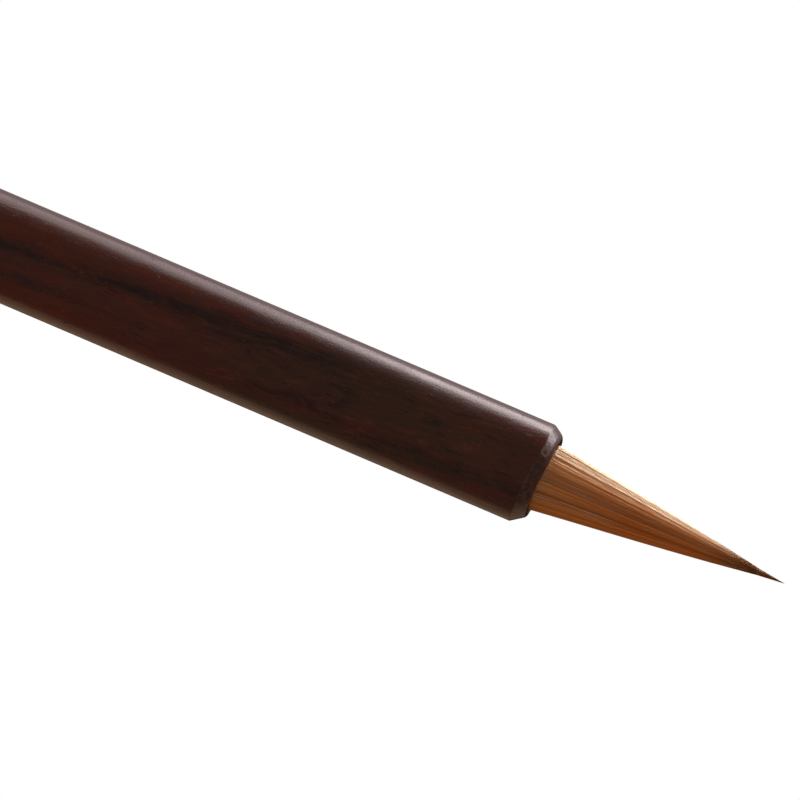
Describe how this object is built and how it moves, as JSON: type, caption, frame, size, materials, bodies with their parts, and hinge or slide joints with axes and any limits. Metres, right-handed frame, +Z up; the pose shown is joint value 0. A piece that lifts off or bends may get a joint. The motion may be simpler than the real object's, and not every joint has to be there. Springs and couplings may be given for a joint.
{
  "type": "fine detail brush",
  "caption": "Slim round liner brush: a pointed natural-hair tuft glued into the bored, chamfered end of a polished dark hardwood handle with a turned horn tail cap.",
  "frame": {"origin": "under the middle of the brush's length, on the surface that the handle lies on; the brush's axis is one handle radius (4 mm) above it", "axes": "+X along the brush from the tail cap to the point of the tuft, +Z up from the surface that it lies on, +Y to the left of the point"},
  "size_m": [0.25, 0.008, 0.008],
  "materials": {
    "rosewood": "satin oil polish over dark reddish-brown hardwood with open pores",
    "horn": "polished dark horn",
    "weasel_hair": "natural golden-brown hair, dark at the points",
    "belly_hair": "natural paler hair",
    "linen_thread": "waxed undyed thread",
    "rosin": "set amber rosin",
    "hide_glue": "set glue film"
  },
  "bodies": {
    "handle": {"handle": "rosewood", "tail_cap": "horn", "tenon_glue": "hide_glue", "root_thread": "linen_thread", "rosin_seal": "rosin", "socket_glue": "hide_glue"},
    "tuft": {"cloak_hairs": "weasel_hair", "lining_hairs_short": "belly_hair", "lining_hairs_medium": "belly_hair", "lining_hairs_long": "belly_hair", "pillar_hairs": "weasel_hair"}
  },
  "joints": [
    {"name": "tuft_bend", "type": "hinge", "parent": "handle", "child": "tuft", "pos_m": [0.1098, 0, 0.004], "axis": [0, 0, 1], "range_deg": [-45, 45], "stiffness_Nm_per_rad": 0.0036, "deforming": ["cloak_hairs", "lining_hairs_short", "lining_hairs_medium", "lining_hairs_long", "pillar_hairs"]}
  ]
}
